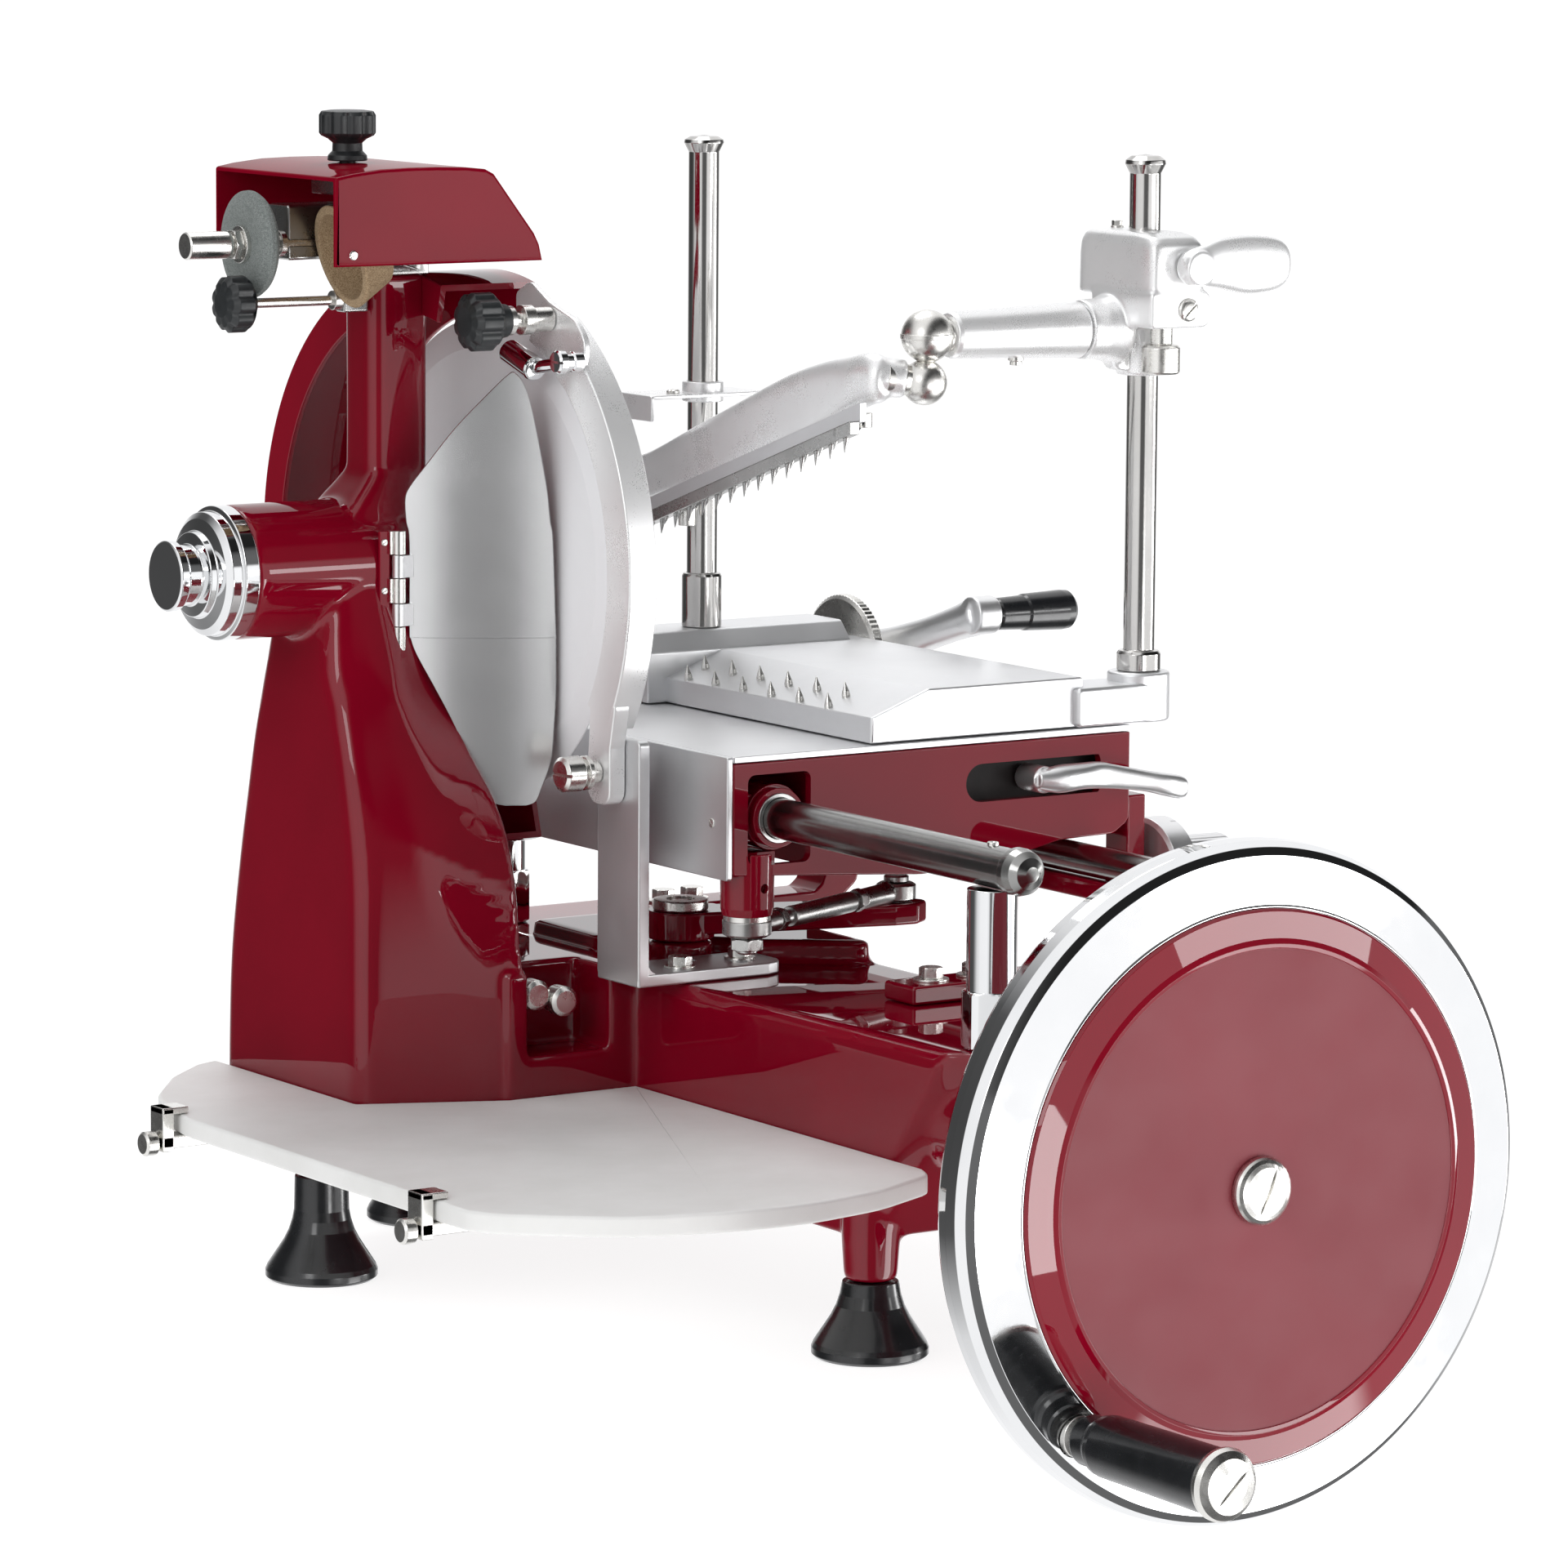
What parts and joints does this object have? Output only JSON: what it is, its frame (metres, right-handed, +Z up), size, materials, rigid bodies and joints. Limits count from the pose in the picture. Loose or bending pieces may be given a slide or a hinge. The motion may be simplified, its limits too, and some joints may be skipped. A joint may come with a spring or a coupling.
{
  "type": "hand crank meat slicer",
  "caption": "Flywheel-driven meat slicer with round blade, sliding carriage and meat table, spiked press, sharpener, slice deflector and receiving board.",
  "frame": {"origin": "on the counter plane under the feet, straight below the blade centre", "axes": "+Z up, +X from the hub cap to the meat table along the blade axis, -Y towards the flywheel"},
  "size_m": [0.7, 1.0129, 0.77],
  "materials": {
    "aluminium": "satin anodised or cast aluminium",
    "black_plastic": "black moulded plastic",
    "chrome": "polished chrome plate",
    "disc_enamel": "red enamel, satin, on the wheel disc",
    "red_enamel": "deep red gloss enamel on a casting",
    "steel": "machined steel",
    "stone": "grey vitrified grinding stone",
    "stone_brown": "brown grinding stone",
    "white_board": "white polyethylene board"
  },
  "bodies": {
    "base": {"base_casting": "red_enamel", "foot_column": "black_plastic", "foot_front_left": "black_plastic", "foot_front_right": "black_plastic", "foot_rear_left": "black_plastic", "foot_rear_right": "black_plastic", "hub_cap": "chrome", "hub_bearing": "steel", "rear_blade_guard": "red_enamel", "front_guard": "aluminium", "guard_bracket": "aluminium", "deflector_hinge": "chrome", "drive_chain": "steel", "shaft_housing": "red_enamel", "main_guide_rod": "chrome", "rod_post_front": "chrome", "rod_post_rear": "chrome", "side_rail": "chrome", "rail_support": "red_enamel", "receiving_board": "white_board", "board_bar_rear": "chrome", "board_bar_front": "chrome"},
    "blade_set": {"blade": "chrome", "blade_shaft": "steel"},
    "lay_shaft_set": {"lay_shaft": "steel"},
    "flywheel_set": {"flywheel_shaft": "steel", "flywheel_rim": "chrome", "flywheel_disc": "disc_enamel", "flywheel_screw": "chrome", "handle_stud": "chrome"},
    "grip_set": {"handle_grip": "black_plastic"},
    "drive_arm_set": {"drive_arm": "red_enamel", "drive_arm_shaft": "steel"},
    "carriage_set": {"carriage": "red_enamel", "carriage_top_plate": "aluminium", "carriage_side_plate": "aluminium"},
    "rod_set": {"connecting_rod": "chrome"},
    "roller_set": {"carriage_roller": "steel"},
    "lever_set": {"thickness_lever": "aluminium"},
    "dial_set": {"thickness_dial": "aluminium"},
    "table_set": {"meat_table": "aluminium", "post_right": "chrome", "post_left": "chrome"},
    "feed_set": {"feed_crank": "aluminium"},
    "feed_grip_set": {"feed_grip": "black_plastic"},
    "clamp_set": {"press_clamp": "aluminium", "press_arm": "aluminium"},
    "clamp_lever_set": {"clamp_lever": "aluminium"},
    "press_set": {"press_plate": "aluminium", "press_comb": "steel"},
    "deflector_set": {"slice_deflector": "aluminium"},
    "guard_knob_set": {"guard_knob": "black_plastic"},
    "guard_nut_set": {"guard_nut": "chrome"},
    "guard_latch_set": {"guard_latch": "chrome"},
    "sharpener_set": {"sharpener_cover": "red_enamel", "sharpener_frame": "steel"},
    "sharpener_knob_set": {"sharpener_knob": "black_plastic"},
    "grinding_wheel_set": {"grinding_wheel": "stone"},
    "cup_stone_set": {"cup_stone": "stone_brown"},
    "push_knob_set": {"push_knob": "black_plastic"}
  },
  "joints": [
    {"name": "flywheel_turn", "type": "hinge", "parent": "base", "child": "flywheel_set", "pos_m": [0.079, -0.4, 0.154], "axis": [0, 1, 0], "continuous": true},
    {"name": "grip_turn", "type": "hinge", "parent": "flywheel_set", "child": "grip_set", "pos_m": [-0.038, -0.76, 0.027], "axis": [0, 1, 0], "continuous": true},
    {"name": "lay_shaft_turn", "type": "hinge", "parent": "base", "child": "lay_shaft_set", "pos_m": [0, 0, 0.154], "axis": [1, 0, 0], "continuous": true},
    {"name": "blade_turn", "type": "hinge", "parent": "base", "child": "blade_set", "pos_m": [0, 0, 0.448], "axis": [1, 0, 0], "continuous": true},
    {"name": "carriage_slide", "type": "slide", "parent": "base", "child": "carriage_set", "axis": [0, 1, 0], "range_m": [-0.201, 0.02]},
    {"name": "drive_arm_swing", "type": "hinge", "parent": "base", "child": "drive_arm_set", "pos_m": [0.079, -0.103, 0.224], "axis": [0, 0, 1], "range_deg": [-75, 10]},
    {"name": "connecting_rod_swing", "type": "hinge", "parent": "carriage_set", "child": "rod_set", "pos_m": [0.055, -0.215, 0.2375], "axis": [0, 0, 1], "range_deg": [-8, 60]},
    {"name": "roller_turn", "type": "hinge", "parent": "carriage_set", "child": "roller_set", "pos_m": [0.296, -0.16, 0.2853], "axis": [1, 0, 0], "continuous": true},
    {"name": "lever_slide", "type": "slide", "parent": "carriage_set", "child": "lever_set", "axis": [1, 0, 0], "range_m": [-0.04, 0.03]},
    {"name": "dial_turn", "type": "hinge", "parent": "carriage_set", "child": "dial_set", "pos_m": [0.38, -0.219, 0.246], "axis": [1, 0, 0], "range_deg": [0, 330]},
    {"name": "table_slide", "type": "slide", "parent": "carriage_set", "child": "table_set", "axis": [1, 0, 0], "range_m": [-0.11, 0]},
    {"name": "feed_turn", "type": "hinge", "parent": "carriage_set", "child": "feed_set", "pos_m": [0.32, 0.047, 0.359], "axis": [1, 0, 0], "range_deg": [-3970, 10]},
    {"name": "feed_grip_turn", "type": "hinge", "parent": "feed_set", "child": "feed_grip_set", "pos_m": [0.36, -0.081, 0.4], "axis": [1, 0, 0], "continuous": true},
    {"name": "clamp_slide", "type": "slide", "parent": "table_set", "child": "clamp_set", "axis": [0, 0, 1], "range_m": [-0.04, 0.01]},
    {"name": "clamp_lever_turn", "type": "hinge", "parent": "clamp_set", "child": "clamp_lever_set", "pos_m": [0.35, -0.268, 0.634], "axis": [0, 1, 0], "range_deg": [-100, 10]},
    {"name": "press_tilt", "type": "hinge", "parent": "clamp_set", "child": "press_set", "pos_m": [0.185, -0.215, 0.594], "axis": [1, 0, 0], "range_deg": [0, 3]},
    {"name": "deflector_swing", "type": "hinge", "parent": "base", "child": "deflector_set", "pos_m": [-0.092, -0.0466, 0.436], "axis": [0, 0, 1], "range_deg": [-85, 0]},
    {"name": "guard_knob_turn", "type": "hinge", "parent": "base", "child": "guard_knob_set", "pos_m": [-0.05, -0.087, 0.603], "axis": [1, 0, 0], "continuous": true},
    {"name": "guard_nut_turn", "type": "hinge", "parent": "base", "child": "guard_nut_set", "pos_m": [-0.025, -0.143, 0.329], "axis": [1, 0, 0], "continuous": true},
    {"name": "guard_latch_turn", "type": "hinge", "parent": "base", "child": "guard_latch_set", "pos_m": [-0.0125, -0.123, 0.5795], "axis": [1, 0, 0], "range_deg": [-8, 10]},
    {"name": "sharpener_lift", "type": "slide", "parent": "base", "child": "sharpener_set", "axis": [0, 0, 1], "range_m": [0, 0.025]},
    {"name": "sharpener_knob_turn", "type": "hinge", "parent": "sharpener_set", "child": "sharpener_knob_set", "pos_m": [-0.101, 0, 0.71], "axis": [0, 0, 1], "continuous": true},
    {"name": "grinding_wheel_turn", "type": "hinge", "parent": "sharpener_set", "child": "grinding_wheel_set", "pos_m": [-0.17, 0.002, 0.6485], "axis": [1, 0, 0], "continuous": true},
    {"name": "cup_stone_turn", "type": "hinge", "parent": "sharpener_set", "child": "cup_stone_set", "pos_m": [-0.0992, -0.0399, 0.6496], "axis": [-0.9596, 0.08, -0.2699], "continuous": true},
    {"name": "push_knob_slide", "type": "slide", "parent": "sharpener_set", "child": "push_knob_set", "axis": [1, 0, 0], "range_m": [-0.012, 0]}
  ],
  "couplings": [
    {"joint": "lay_shaft_turn", "follows": "flywheel_turn", "ratio": -2},
    {"joint": "blade_turn", "follows": "flywheel_turn", "ratio": -2},
    {"joint": "drive_arm_swing", "follows": "carriage_slide", "rad_per_m": 6.313},
    {"joint": "connecting_rod_swing", "follows": "carriage_slide", "rad_per_m": -5.054},
    {"joint": "roller_turn", "follows": "carriage_slide", "rad_per_m": -83.333},
    {"joint": "feed_turn", "follows": "table_slide", "rad_per_m": 628.32}
  ]
}
